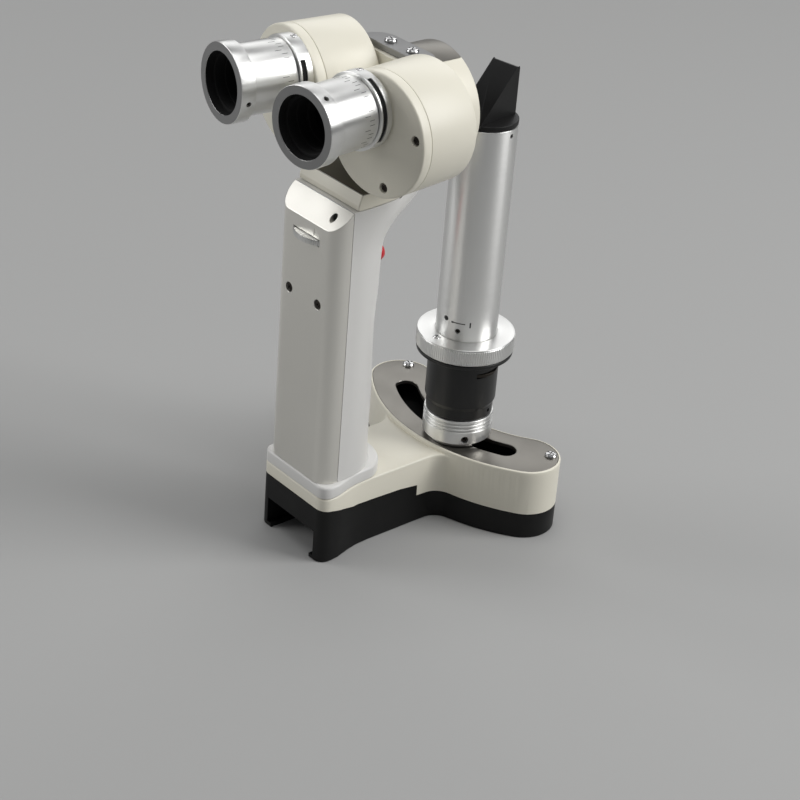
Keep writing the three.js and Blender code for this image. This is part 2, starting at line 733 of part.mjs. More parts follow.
function filterCarrier() {
  const body = join(ring(5.4, 12.6, 70.2, 71.6, 20), disc(1.1, 71, 76.6, 8).translate([FILTER.offset, 0, 0]));
  return piece("filter_carrier", body.rotate([0, 0, FILTER.angle]), greyPlate);
}

function filterWheel() {
  const { offset, r, z, angle } = FILTER;
  const holes = [1, 2, 3, 4, 5].map((i) =>
    disc(2.9, -5, 5, 12).translate([-offset, 0, 0]).rotate([0, 0, i * 72]),
  );
  const wheel = cut(disc(r, -0.8, 0.8, 48), disc(1.4, -5, 5, 12), ...holes);
  return piece("filter_wheel", wheel.translate([offset, 0, z]).rotate([0, 0, angle]), silver);
}

function slitRing() {
  return piece("slit_angle_ring", turned([[13, 80.6], [21.7, 80.6], [22.2, 81], [22.2, 82.4], [13, 82.4]], 36), black);
}

function slitBlades() {
  const opening = block(-0.5, 0.5, -6, 6, 80, 84);
  return piece("slit_plate", cut(disc(11.1, 81.2, 82.2, 20), opening), black);
}

function collar() {
  const [z0, z1] = COLLAR;
  const profile = [
    [13, z0], [COLLAR_R - 0.5, z0], [COLLAR_R, z0 + 0.5], [COLLAR_R, z1 - 0.7], [COLLAR_R - 0.7, z1],
    [TUBE_R + 0.35, z1], [TUBE_R + 0.35, 86.2], [13, 86.2],
  ];
  const [x, y] = indexPlace();
  return piece("aperture_collar", cut(turned(profile, 44), disc(2, 88.9, 95, 16).translate([x, y, 0])), silver);
}

function indexPlace() {
  const a = (-90 + 39 - 50) * DEG;
  return [17 * Math.cos(a), 17 * Math.sin(a)];
}

function apertureDisc() {
  return piece("aperture_disc", cut(disc(11.1, 84.1, 85.1, 20), disc(4.5, 80, 90, 14)), black);
}

const SET_SCREWS = { lower: { z: 95.7, turn: 22 }, upper: { z: 189.4, turn: 91 } };

// A radial hole or screw through the tube wall; turn is counted from the operator's side.
function radial(r, from, to, { z, turn }, sides = 14) {
  return discY(r, -to, -from, sides).translate([0, 0, z]).rotate([0, 0, turn]);
}

function lampTube() {
  const body = ring(TUBE_R - 1.2, TUBE_R, 86.6, TUBE_TOP, 40);
  const holes = Object.values(SET_SCREWS).map((at) => radial(1.25, 10, 20, at));
  return piece("lamp_tube", cut(body, ...holes), silver);
}

function projectionLens() {
  const profile = [[0, 176], [6, 176.6], [12.4, 178.6], [12.4, 180.4], [6, 182], [0, 182.4]];
  return piece("projection_lens", turned(profile, 20), glass);
}

const MIRROR_HEAD = { half: 6.9, back: -13.2, front: 10.8, low: 194.8, high: 216.4 };

function mirrorHead() {
  const { half, back, front, low, high } = MIRROR_HEAD;
  const base = join(disc(TUBE_R, TUBE_TOP + GAP, low, 32), ring(9.6, 12.5, 186.4, TUBE_TOP + 1, 24));
  const wedge = slab([[back, low - 0.5], [front - 1.2, high], [front, high], [front, low - 0.5]], -half, half);
  const hollow = slab([[-6.6, low - 4], [-6.6, low + 1], [front - 1.6, high - 5.6], [20, high - 5.6], [20, low - 4]], -5.3, 5.3);
  const well = disc(5.2, 180, low + 1, 28);
  return piece("mirror_holder", cut(join(base, wedge), hollow, well), black);
}

function mirror() {
  const glassPlate = block(-5, 5, -11, 11, -0.6, 0.6).rotate([42, 0, 0]);
  return piece("mirror", glassPlate.translate([0, 2.2, 202.3]), glass);
}

function tower() {
  const group = new THREE.Group();
  group.position.set(SLOT_R * Math.sin(SWING * DEG), FOCUS_Y - SLOT_R * Math.cos(SWING * DEG), 0);
  group.rotation.z = SWING * DEG;
  group.add(swingPivot(), pivotWasher(), lampBase(), heatSink(), ledModule(), condenserLens());
  group.add(lampHousing(), filterCarrier(), filterWheel(), slitRing(), slitBlades());
  group.add(collar(), apertureDisc(), lampTube());
  group.add(projectionLens(), mirrorHead(), mirror());
  return group;
}

// ---- the whole lamp ----------------------------------------------------------------------------

const lampBody = new THREE.Group();
lampBody.add(baseCasting(), baseCradle(), slotPlate());
lampBody.add(slotPlateScrew("slot_plate_screw_left", -1), slotPlateScrew("slot_plate_screw_right", 1));
lampBody.add(handleFoot(), rearCover(), indicator(), gripShell());
lampBody.add(coverScrew("rear_cover_screw_left", COVER_SCREWS[0]));
lampBody.add(coverScrew("rear_cover_screw_right", COVER_SCREWS[1]));
lampBody.add(shutterButton(), buttonSwitch(), dimmerWheel(), dimmerPot());
lampBody.add(batteryPack(), batteryContacts(), circuitBoard());
lampBody.add(saddleBlock(), headCasting(), headTopPlate());
lampBody.add(topPlateScrew("top_plate_screw_left", -1), topPlateScrew("top_plate_screw_right", 1));
lampBody.add(noseInlay(), objectivePlate(), objectiveLens("left_objective_lens", -1), objectiveLens("right_objective_lens", 1));
lampBody.add(drumGroup("left", -1), drumGroup("right", 1), tower());

// The origin goes to the middle of the underside.
const box = new THREE.Box3().setFromObject(lampBody, true);
lampBody.position.set(0, -(box.min.y + box.max.y) / 2, -box.min.z);
const slitLamp = new THREE.Group();
slitLamp.add(lampBody);

export default slitLamp;
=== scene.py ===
import math

import bmesh
import bpy
from mathutils import Matrix, Vector


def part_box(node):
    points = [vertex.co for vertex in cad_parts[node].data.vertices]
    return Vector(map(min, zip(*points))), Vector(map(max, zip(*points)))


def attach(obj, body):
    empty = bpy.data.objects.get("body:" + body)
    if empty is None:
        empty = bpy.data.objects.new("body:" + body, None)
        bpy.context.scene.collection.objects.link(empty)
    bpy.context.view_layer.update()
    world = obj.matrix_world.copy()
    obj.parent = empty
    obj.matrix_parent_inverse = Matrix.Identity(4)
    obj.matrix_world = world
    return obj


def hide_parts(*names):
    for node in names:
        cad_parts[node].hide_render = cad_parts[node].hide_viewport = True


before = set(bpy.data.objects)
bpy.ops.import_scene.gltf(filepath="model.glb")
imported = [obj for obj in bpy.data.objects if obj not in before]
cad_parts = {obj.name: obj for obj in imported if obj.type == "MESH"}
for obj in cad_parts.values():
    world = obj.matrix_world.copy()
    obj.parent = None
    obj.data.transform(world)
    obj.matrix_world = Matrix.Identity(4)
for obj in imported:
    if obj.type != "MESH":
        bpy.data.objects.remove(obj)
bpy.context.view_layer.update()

# Lengths below are in millimetres, in the lamp's own layout: x to the operator's right, y forward,
# z up from the table. SHIFT carries that layout's y into the frame.
MM = 0.001
BATTERY_REAR = 22
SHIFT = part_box("battery_pack")[0].y / MM - BATTERY_REAR
FOCUS_Y = 175  # the focal axis, which the crescent and its slot curve round


# ---- places --------------------------------------------------------------------------------

def at(x, y, z):
    return Matrix.Translation((x * MM, y * MM, z * MM))


def spin(degrees, axis="Z"):
    return Matrix.Rotation(math.radians(degrees), 4, axis)


LAMP = at(0, SHIFT, 0)
ALONG_Y = spin(-90, "X")  # a piece turned about Z is laid along +Y
SLOT_R, SWING = 70.9, 9  # the slot's radius, and how far off centre the tower stands
PIVOT = (SLOT_R * math.sin(math.radians(SWING)), FOCUS_Y - SLOT_R * math.cos(math.radians(SWING)))
TOWER = LAMP @ at(PIVOT[0], PIVOT[1], 0) @ spin(SWING)

AXIS_Z = 209  # height of both optical axes
DRUM_X, DRUM_Y, TOE_IN = 30.1, 26.5, 6.1
DRUM_R, DRUM_DEEP = 26.5, 31.2
OCULAR_X, OCULAR_Z = 7, 9.5  # the eyepiece's axis from the drum's


def drum_place(side):
    """The middle of a drum's rear face; side is -1 on the left and 1 on the right."""
    return LAMP @ at(side * DRUM_X, DRUM_Y, AXIS_Z) @ spin(side * TOE_IN)


# ---- mesh code -----------------------------------------------------------------------------

def new_object(name, verts, faces, place=LAMP):
    mesh = bpy.data.meshes.new(name)
    mesh.from_pydata([(x * MM, y * MM, z * MM) for x, y, z in verts], [], faces)
    bm = bmesh.new()
    bm.from_mesh(mesh)
    bmesh.ops.remove_doubles(bm, verts=bm.verts, dist=1e-7)
    bmesh.ops.recalc_face_normals(bm, faces=bm.faces)
    bm.to_mesh(mesh)
    bm.free()
    obj = bpy.data.objects.new(name, mesh)
    bpy.context.scene.collection.objects.link(obj)
    obj.matrix_world = place
    return obj


def arc(cx, cy, r, a0, a1, steps):
    out = []
    for i in range(steps + 1):
        a = math.radians(a0 + (a1 - a0) * i / steps)
        out.append((cx + r * math.cos(a), cy + r * math.sin(a)))
    return out


def eased(points, radius, steps=4, closed=True):
    """The outline with its corners rounded; a third number on a point is its own radius."""
    out = []
    n = len(points)
    for i, p in enumerate(points):
        own = p[2] if len(p) > 2 else radius
        ends = not closed and i in (0, n - 1)
        if ends or own <= 0:
            out.append((p[0], p[1]))
            continue
        here = Vector((p[0], p[1]))
        back = Vector(points[i - 1][:2]) - here
        ahead = Vector(points[(i + 1) % n][:2]) - here
        if back.length < 1e-6 or ahead.length < 1e-6:
            continue
        turn = back.angle(ahead)
        if turn > math.radians(172):  # nearly straight on, so there is no corner to round
            out.append((p[0], p[1]))
            continue
        reach = min(own / math.tan(turn / 2), 0.48 * back.length, 0.48 * ahead.length)
        own = reach * math.tan(turn / 2)
        towards = (back.normalized() + ahead.normalized()).normalized()
        middle = here + towards * (own / math.sin(turn / 2))
        start = here + back.normalized() * reach - middle
        end = here + ahead.normalized() * reach - middle
        sweep = start.angle_signed(end)
        for k in range(steps + 1):
            a = -sweep * k / steps
            c, s = math.cos(a), math.sin(a)
            out.append((middle.x + start.x * c - start.y * s, middle.y + start.x * s + start.y * c))
    return out


def turned(name, profile, place, sides=96, ease=0.25):
    """A profile of (radius, height) turned about Z, its corners rounded by ease."""
    closed = profile[0][0] > 0 or profile[-1][0] > 0
    points = eased(profile, ease, closed=closed) if ease else [(p[0], p[1]) for p in profile]
    verts, faces = [], []
    n = len(points)
    for i in range(sides):
        a = 2 * math.pi * i / sides
        for r, h in points:
            verts.append((max(r, 0) * math.cos(a), max(r, 0) * math.sin(a), h))
    for i in range(sides):
        j = (i + 1) % sides
        for k in range(n if closed else n - 1):
            m = (k + 1) % n
            quad = [i * n + k, j * n + k, j * n + m, i * n + m]
            if points[k][0] <= 0 and points[m][0] <= 0:
                continue
            if points[k][0] <= 0:
                quad = [quad[0], quad[2], quad[3]]
            elif points[m][0] <= 0:
                quad = quad[:3]
            faces.append(quad)
    return new_object(name, verts, faces, place)


def disc(name, r, z0, z1, place, sides=48, ease=0.0):
    return turned(name, [(0, z0), (r, z0), (r, z1), (0, z1)], place, sides, ease)


def inset(outline, amount):
    """A closed, anticlockwise outline drawn in by amount, square to its edges."""
    out = []
    n = len(outline)
    for i in range(n):
        a, b, c = Vector(outline[i - 1]), Vector(outline[i]), Vector(outline[(i + 1) % n])
        u, v = (b - a).normalized(), (c - b).normalized()
        normal = Vector((-u.y - v.y, u.x + v.x))
        if normal.length < 1e-6:
            normal = Vector((-u.y, u.x))
        normal.normalize()
        grow = max(0.5, normal.dot(Vector((-u.y, u.x))))
        out.append(tuple(b + normal * (amount / grow)))
    return out


def prism(name, outline, z0, z1, place=LAMP, top=0.0, bottom=0.0, steps=4):
    """The outline raised from z0 to z1, with rounded edges of radius top and bottom."""
    levels = []
    for k in range(steps + 1 if bottom else 0):
        a = math.radians(90 * k / steps)
        levels.append((bottom * (1 - math.sin(a)), z0 + bottom * (1 - math.cos(a))))
    if not bottom:
        levels.append((0, z0))
    for k in range(steps + 1 if top else 0):
        a = math.radians(90 * k / steps)
        levels.append((top * (1 - math.cos(a)), z1 - top * (1 - math.sin(a))))
    if not top:
        levels.append((0, z1))
    n = len(outline)
    verts, faces = [], []
    for draw_in, z in levels:
        ring = inset(outline, draw_in) if draw_in > 1e-6 else outline
        verts += [(x, y, z) for x, y in ring]
    for k in range(len(levels) - 1):
        for i in range(n):
            j = (i + 1) % n
            faces.append((k * n + i, k * n + j, (k + 1) * n + j, (k + 1) * n + i))
    faces.append(tuple(range(n - 1, -1, -1)))
    faces.append(tuple((len(levels) - 1) * n + i for i in range(n)))
    return new_object(name, verts, faces, place)


def slab(name, outline, x0, x1, place=LAMP, ease=0.0):
    """An outline of (y, z) points pushed through from x0 to x1."""
    turn = Matrix(((0, 0, 1, 0), (1, 0, 0, 0), (0, 1, 0, 0), (0, 0, 0, 1)))
    return prism(name, outline, x0, x1, place @ turn, ease, ease)


def block(name, x0, x1, y0, y1, z0, z1, place=LAMP):
    return prism(name, [(x0, y0), (x1, y0), (x1, y1), (x0, y1)], z0, z1, place)


def skin(name, rings, place=LAMP):
    """Rings of points of one length, joined into a closed body."""
    n = len(rings[0])
    verts = [p for ring in rings for p in ring]
    faces = []
    for k in range(len(rings) - 1):
        for i in range(n):
            j = (i + 1) % n
            faces.append((k * n + i, k * n + j, (k + 1) * n + j, (k + 1) * n + i))
    faces.append(tuple(range(n - 1, -1, -1)))
    faces.append(tuple((len(rings) - 1) * n + i for i in range(n)))
    return new_object(name, verts, faces, place)


def combine(obj, others, how="DIFFERENCE"):
    """obj cut by, joined with or kept inside the others, which are used up."""
    for other in others:
        tool = obj.modifiers.new("combine", "BOOLEAN")
        tool.operation = how
        tool.solver = "EXACT"
        tool.object = other
        bpy.context.view_layer.update()
        graph = bpy.context.evaluated_depsgraph_get()
        made = bpy.data.meshes.new_from_object(obj.evaluated_get(graph))
        obj.modifiers.clear()
        old = obj.data
        obj.data = made
        bpy.data.meshes.remove(old)
        spent = other.data
        bpy.data.objects.remove(other)
        bpy.data.meshes.remove(spent)
    return obj


def edges_softened(obj, width, angle=40, segments=2):
    """Small rounds on the edges that cutting left sharp."""
    tool = obj.modifiers.new("edges", "BEVEL")
    tool.width = width * MM
    tool.segments = segments
    tool.limit_method = "ANGLE"
    tool.angle_limit = math.radians(angle)
    tool.use_clamp_overlap = True
    return obj


def done(obj, material, body, stands_for=(), crease=32):
    """Gives a finished mesh its material and its body."""
    obj.data.materials.clear()
    obj.data.materials.append(material)
    for polygon in obj.data.polygons:
        polygon.use_smooth = True
    obj.data.set_sharp_from_angle(angle=math.radians(crease))
    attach(obj, body)
    if stands_for:
        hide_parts(*stands_for)
    return obj


# ---- materials -----------------------------------------------------------------------------

def linear(code):
    """An sRGB hex colour as the linear colour that the shader takes."""
    out = []
    for i in (1, 3, 5):
        c = int(code[i:i + 2], 16) / 255
        out.append(c / 12.92 if c <= 0.04045 else ((c + 0.055) / 1.055) ** 2.4)
    return (*out, 1.0)


def add(tree, kind, **settings):
    """A node with its settings. A setting that is another node's output is linked in."""
    node = tree.nodes.new(kind)
    for key, value in settings.items():
        name = key.replace("_", " ")
        if name not in node.inputs:
            setattr(node, key, value)
        elif isinstance(value, bpy.types.NodeSocket):
            tree.links.new(value, node.inputs[name])
        else:
            node.inputs[name].default_value = value
    return node


def surface(name, code, roughness, **more):
    """A principled material, with its tree and shader for the pattern that follows."""
    material = bpy.data.materials.new(name)
    material.use_nodes = True
    tree = material.node_tree
    tree.nodes.clear()
    shader = add(tree, "ShaderNodeBsdfPrincipled", Base_Color=linear(code), Roughness=roughness, **more)
    add(tree, "ShaderNodeOutputMaterial", Surface=shader.outputs[0])
    return material, tree, shader


def relief(tree, shader, vector, size_mm, height_mm, detail=2.0):
    """Noise of that grain as bump on the shader."""
    noise = add(tree, "ShaderNodeTexNoise", Vector=vector, Scale=1 / (size_mm * MM), Detail=detail)
    bump = add(tree, "ShaderNodeBump", Height=noise.outputs[0], Distance=height_mm * MM, Strength=1.0)
    tree.links.new(bump.outputs[0], shader.inputs["Normal"])


def uneven_gloss(tree, shader, vector, size_mm, low, high):
    """Roughness that drifts between low and high, as handled surfaces do."""
    noise = add(tree, "ShaderNodeTexNoise", Vector=vector, Scale=1 / (size_mm * MM))
    spread = add(tree, "ShaderNodeMapRange", Value=noise.outputs[0], From_Min=0.3, From_Max=0.7,
                 To_Min=low, To_Max=high)
    tree.links.new(spread.outputs[0], shader.inputs["Roughness"])


def object_space(tree):
    return add(tree, "ShaderNodeTexCoord").outputs["Object"]


def painted_or_moulded(name, code, low, high, grain_mm, height_mm, **more):
    """An even colour with a fine grain, and gloss that changes over patches as wide as a fingertip."""
    material, tree, shader = surface(name, code, (low + high) / 2, **more)
    place = object_space(tree)
    relief(tree, shader, place, grain_mm, height_mm)
    uneven_gloss(tree, shader, place, 14, low, high)
    return material


def lathe_turned(name, code, low, high, metallic=1.0, height_mm=0.0012):
    """Metal off the lathe. Its tool marks run round local Z and draw the glare out into streaks.

    Real marks are about 0.05 mm apart; these are 0.22 mm, so that they show.
    """
    material, tree, shader = surface(
        name, code, (low + high) / 2, Metallic=metallic,
        Anisotropic=0.75 if metallic else 0.4, Anisotropic_Rotation=0.25)
    around = add(tree, "ShaderNodeTangent", direction_type="RADIAL", axis="Z")
    tree.links.new(around.outputs[0], shader.inputs["Tangent"])
    split = add(tree, "ShaderNodeSeparateXYZ", Vector=object_space(tree))
    flat = add(tree, "ShaderNodeCombineXYZ", X=split.outputs[0], Y=split.outputs[1])
    radius = add(tree, "ShaderNodeVectorMath", operation="LENGTH", Vector=flat.outputs[0])
    rings = add(tree, "ShaderNodeCombineXYZ", X=radius.outputs["Value"], Y=split.outputs[2])
    relief(tree, shader, rings.outputs[0], 0.22, height_mm, 3.0)
    uneven_gloss(tree, shader, rings.outputs[0], 1.1, low, high)
    return material


# Warm off-white stoving enamel on die castings: smooth, with a soft sheen and a trace of orange peel.
CREAM = painted_or_moulded("stoved_enamel_cream", "#E3DFD0", 0.33, 0.42, 0.9, 0.004)
# Cool white injection-moulded ABS of the grip and its foot: satin, a little cooler than the enamel.
WHITE = painted_or_moulded("moulded_abs_white", "#DCDBD8", 0.34, 0.42, 0.7, 0.003)
# Pearl grey lacquer on the rear cover's moulding: a metallic sheen that darkens as it turns away.
PEARL = painted_or_moulded("pearl_lacquer_grey", "#E4E2DB", 0.28, 0.34, 0.6, 0.002, Metallic=0.7)
# Black glass-filled nylon of the base cradle: a fine spark-eroded texture that dulls the sheen.
CRADLE = painted_or_moulded("moulded_nylon_black", "#080808", 0.45, 0.54, 0.35, 0.006, Specular_IOR_Level=0.3)
# Hard black anodising on turned aluminium: deep black with a streak of grey glare.
ANODISED = lathe_turned("black_anodised_aluminium", "#060606", 0.34, 0.4, 0.0, 0.0008)
# Matt black paint on the mirror holder, the switch and the stops: it gives back very little light.
MATT_BLACK = painted_or_moulded("matt_black_paint", "#080808", 0.42, 0.5, 0.5, 0.003, Specular_IOR_Level=0.35)
# Aluminium off the lathe, satin anodised clear: bright, with soft streaks along the piece.
TURNED = lathe_turned("satin_turned_aluminium", "#E6E6E4", 0.34, 0.4)
# Bead-blasted aluminium of the eyepieces' rear faces and the head plate: an even grey without streaks.
BLASTED = painted_or_moulded("bead_blasted_aluminium", "#8F8F8F", 0.42, 0.5, 0.18, 0.004, Metallic=1.0)
# Grey anodised plate over the slot and on the nose: darker and warmer than the bare metal. It also makes the
# strip on the saddle's top, whose darker grey is partly painted shade from the drums above.
PLATE = painted_or_moulded("grey_anodised_plate", "#8B8882", 0.34, 0.42, 0.25, 0.003, Metallic=1.0)
# Nickel-plated steel screws: small and bright.
SCREW = painted_or_moulded("nickel_plated_steel", "#D2D2D2", 0.14, 0.24, 2.0, 0.002, Metallic=1.0)
# Blackened steel screws: dark brown-grey with a dull glint.
DARK_SCREW = painted_or_moulded("blackened_steel", "#3A3632", 0.3, 0.4, 2.0, 0.002, Metallic=1.0)
# Plain machined brass of the pivot and the contacts: yellow and half bright.
BRASS = painted_or_moulded("plain_brass", "#C9A65A", 0.25, 0.35, 2.0, 0.002, Metallic=1.0)
# Red moulded button: clear colour, smooth.
RED = painted_or_moulded("moulded_red_button", "#C4202C", 0.3, 0.38, 1.0, 0.002)
# Green solder mask of the driver board: glossy over the tracks.
BOARD = painted_or_moulded("green_solder_mask", "#1C6B3B", 0.35, 0.45, 1.5, 0.004)
# Silicone over the light source: pale yellow, satin.
LAMP_BODY = painted_or_moulded("led_silicone", "#F0EBC8", 0.35, 0.45, 1.0, 0.002)
# Paint run into engraved lines and dots: flat black.
INK = surface("engraving_ink_black", "#1A1A1A", 0.55)[0]
# Flocked black inside tubes and behind slots: no glare at all.
INSIDE = surface("flocked_black_inside", "#050505", 0.9)[0]
# Coated optical glass of the inner lenses and prisms: clear.
GLASS = surface("coated_optical_glass", "#F4F8F8", 0.02, Transmission_Weight=1.0, IOR=1.52)[0]
# A lens set deep in a black cell: all but black, with a sharp glint.
DARK_GLASS = surface("coated_lens_dark", "#0A0C10", 0.06, Coat_Weight=1.0)[0]
# Front-silvered mirror: a clear, bright reflection.
MIRROR = surface("silvered_mirror", "#E8E9EA", 0.03, Metallic=1.0)[0]


def repaint(node, material):
    """A CAD node keeps its own mesh and takes a finished material."""
    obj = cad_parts[node]
    obj.data.materials.clear()
    obj.data.materials.append(material)
    return obj


# ---- base ----------------------------------------------------------------------------------

BAND_R, BAND_HALF, BAND_ANGLE = 71.7, 16, 38.6
STEM_HALF, REAR_HALF, REAR_Y = 18.5, 22.7, 17.2
BAND_TOP, STEM_TOP, PLATE_Z = 35.5, 33.5, 33.4


def band(radius, half, angle):
    """The crescent's outline, anticlockwise, with round ends."""
    steps = 48
    a0, a1 = -90 - angle, -90 + angle
    x, y = radius * math.cos(math.radians(a1)), radius * math.sin(math.radians(a1))
    out = arc(0, FOCUS_Y, radius + half, a0, a1, steps)
    out += arc(x, FOCUS_Y + y, half, a1, a1 + 180, 20)[1:-1]
    out += arc(0, FOCUS_Y, radius - half, a1, a0, steps)
    out += arc(-x, FOCUS_Y + y, half, a0 + 180, a0 + 360, 20)[1:-1]
    return out


def footprint():
    """The whole base in plan: stem, crescent, and the web that rounds the corner between them."""
    web = 9
    outer = BAND_R + BAND_HALF
    cx = STEM_HALF + web
    cy = FOCUS_Y - math.sqrt((outer + web) ** 2 - cx ** 2)
    meets = math.degrees(math.atan2(FOCUS_Y - cy, -cx))
    a1 = -90 + BAND_ANGLE
    ex, ey = BAND_R * math.cos(math.radians(a1)), FOCUS_Y + BAND_R * math.sin(math.radians(a1))
    right = arc(REAR_HALF - 5, REAR_Y + 5, 5, -90, 0, 8)
    right += [(REAR_HALF, 24), (REAR_HALF - 0.5, 28), (STEM_HALF + 1.7, 35), (STEM_HALF + 0.4, 41)]
    right += [(STEM_HALF, 48), (STEM_HALF, 60), (STEM_HALF, 70)]
    right += arc(cx, cy, web, 180, meets, 10)
    start = math.degrees(math.atan2(right[-1][1] - FOCUS_Y, right[-1][0]))
    right += arc(0, FOCUS_Y, outer, start, a1, 20)[1:]
    right += arc(ex, ey, BAND_HALF, a1, a1 + 180, 20)[1:]
    right += arc(0, FOCUS_Y, BAND_R - BAND_HALF, a1, -90, 24)[1:]
    left = [(-x, y) for x, y in reversed(right[:-1])]
    return right + left


# The seam between casting and cradle from the side, as (y, z), with its step.
STEP_Y = 76.4
SEAM = [
    (12.2, 28.1), (23, 26.8), (30, 24.9), (37, 22.7), (46, 21.9), (66, 21.2),
    (STEP_Y, 19.9), (STEP_Y, 14.3), (90, 13.7), (110, 13), (150, 12.3),
]


def above_seam(drop):
    """Everything above the seam, or above a line that far under it."""
    line = [(y - (drop if y == STEP_Y else 0), z - drop) for y, z in SEAM]
    return slab("above_seam", line + [(150, 60), (12.2, 60)], -80, 80)


def base():
    casting = prism("base_casting_paint", footprint(), 5, STEM_TOP, top=1.0)
    crescent = prism("crescent", band(BAND_R, BAND_HALF, BAND_ANGLE), 5, BAND_TOP, top=0.7)
    combine(casting, [crescent], "UNION")
    recess = prism("recess", band(BAND_R, BAND_HALF - 0.9, BAND_ANGLE), PLATE_Z - 0.3, 60)
    groove = prism("groove", band(SLOT_R, 8.9, BAND_ANGLE), 22, 60)
    combine(casting, [recess, groove])
    combine(casting, [above_seam(0)], "INTERSECT")
    done(casting, CREAM, "microscope_body", ["base_casting"])

    cradle = prism("base_cradle_black", footprint(), 0, 31, bottom=0.7)
    channel = block("channel", -17, 17, 10, 62, 2.2, 15)
    mouth = block("mouth", -14.4, 14.4, 10, 62, -5, 3)
    combine(channel, [mouth], "UNION")
    groove = prism("groove", band(SLOT_R, 7, BAND_ANGLE), 4, 60)
    combine(cradle, [above_seam(0.25), channel, groove])
    done(cradle, CRADLE, "microscope_body", ["base_cradle"])

    tray = prism("slot_tray", band(SLOT_R, 8.85, BAND_ANGLE), 23.4, PLATE_Z - 0.1)
    combine(tray, [prism("inside", band(SLOT_R, 8.45, BAND_ANGLE), 24, 60)])
    done(tray, INSIDE, "microscope_body")

    cover = prism("slot_plate_grey", band(BAND_R, BAND_HALF - 1.1, BAND_ANGLE), PLATE_Z, 35.4, top=0.2)
    slot = prism("slot", band(SLOT_R, 5.35, 30.2), 30, 40)
    combine(cover, [slot])
    done(edges_softened(cover, 0.25, 50), PLATE, "microscope_body", ["slot_plate"])
    for side, word in ((-1, "left"), (1, "right")):
        seat = LAMP @ at(side * 51.5, 128.1, 35.4) @ spin(20 * side)
        screw = pan_screw("slot_plate_screw_" + word, 2.8, 1.6, seat)
        done(screw, SCREW, "microscope_body", ["slot_plate_screw_" + word])


def pan_screw(name, r, high, place):
    """A round-headed screw seated at z = 0, with a cross recess."""
    profile = [
        (0, -1.2), (r * 0.5, -1.2), (r * 0.5, 0), (r, 0), (r, high * 0.4),
        (r * 0.82, high * 0.8), (r * 0.5, high * 0.97), (0, high),
    ]
    head = turned(name + "_head", profile, place, 40, 0.15)
    reach, half, floor = r * 0.62, r * 0.11, high * 0.45
    arms = [block("arm", -reach, reach, -half, half, floor, high + 1, place @ spin(a)) for a in (0, 90)]
    return combine(head, arms)


# ---- handle --------------------------------------------------------------------------------

HALF, REAR, SEAM_Y = 20.3, 17.6, 26.3  # half width, rear face, and the seam between cover and grip
FOOT_TOP = 39.6
CAP_LOW, CAP_HIGH = 162, 170.4  # the sloping cap, at the rear face and at the seam
COVER_SCREW_X, COVER_SCREW_Z = 9.9, 126
LIGHT_X, LIGHT_Z = 12, 166.3
BUTTON_Z = 137
WHEEL_Y, WHEEL_Z, WHEEL_R = 28.7, 154.1, 14.3
GRIP_Y = 30  # the widest line of the grip's oval


def foot():
    outline = arc(REAR_HALF - 5, REAR_Y + 5, 5, -90, 0, 8)
    outline += [(REAR_HALF, 24), (REAR_HALF - 0.4, 27), (20.4, 33), (19.3, 38), (18.7, 45)]
    for k in range(1, 20):
        a = math.pi * k / 40
        outline.append((18.7 * math.cos(a), 45 + 15.2 * math.sin(a)))
    outline += [(-x, y) for x, y in reversed(outline)]
    body = prism("handle_foot_flange", outline, STEM_TOP + 0.15, FOOT_TOP, top=1.3, bottom=0.4, steps=5)
    done(body, WHITE, "microscope_body", ["handle_foot"])


def rear_outline(draw_in, front):
    """The rear cover in plan, drawn in by a wall, and open as far forward as front."""
    r = 7.5 - draw_in
    half = HALF - draw_in
    y = REAR + draw_in
    out = arc(half - r, y + r, r, -90, 0, 12)
    out += [(half, front), (-half, front)]
    out += arc(-half + r, y + r, r, 180, 270, 12)
    return out


def over_cap(drop):
    """Everything above the sloping cap, or above a slope that far under it."""
    rise = (CAP_HIGH - CAP_LOW) / (SEAM_Y - REAR)
    low = CAP_LOW - drop - 10 * rise
    high = CAP_LOW - drop + (60 - REAR) * rise
    return slab("over_cap", [(REAR - 10, low), (60, high), (60, 300), (REAR - 10, 300)], -40, 40)


def rear_cover():
    cover = prism("rear_cover_shell", rear_outline(0, SEAM_Y), FOOT_TOP + 0.1, 176)
    combine(cover, [over_cap(0)])
    hollow = prism("hollow", rear_outline(1.7, SEAM_Y + 6), FOOT_TOP - 2, 176)
    combine(hollow, [over_cap(2.2)])
    window = block("window", -9.1, 9.1, 0, 25, 152.5, 155.8)
    light = disc("light", 1.6, 10, 40, LAMP @ at(LIGHT_X, 0, LIGHT_Z) @ ALONG_Y, 32)
    wells = []
    for x in (-COVER_SCREW_X, COVER_SCREW_X):
        wells.append(disc("well", 2.3, 10, 30, LAMP @ at(x, 0, COVER_SCREW_Z) @ ALONG_Y, 32))
    tick = block("tick", 5.0, 5.35, 17.2, 17.9, 156.6, 159.6)
    combine(cover, [hollow, window, light, tick, *wells])
    done(edges_softened(cover, 0.45, 38, 3), PEARL, "microscope_body", ["rear_cover"], 30)
    for x, word in ((-COVER_SCREW_X, "left"), (COVER_SCREW_X, "right")):
        place = LAMP @ at(x, REAR + 1.3, COVER_SCREW_Z) @ ALONG_Y @ spin(180, "X")
        screw = pan_screw("cover_screw_" + word, 2.0, 1.0, place @ spin(35))
        done(screw, DARK_SCREW, "microscope_body", ["rear_cover_screw_" + word])
    dot = disc("cap_light", 1.55, 23.3, 25.5, LAMP @ at(LIGHT_X, 0, LIGHT_Z) @ ALONG_Y, 32, 0.2)
    done(dot, INSIDE, "microscope_body", ["cap_indicator"])


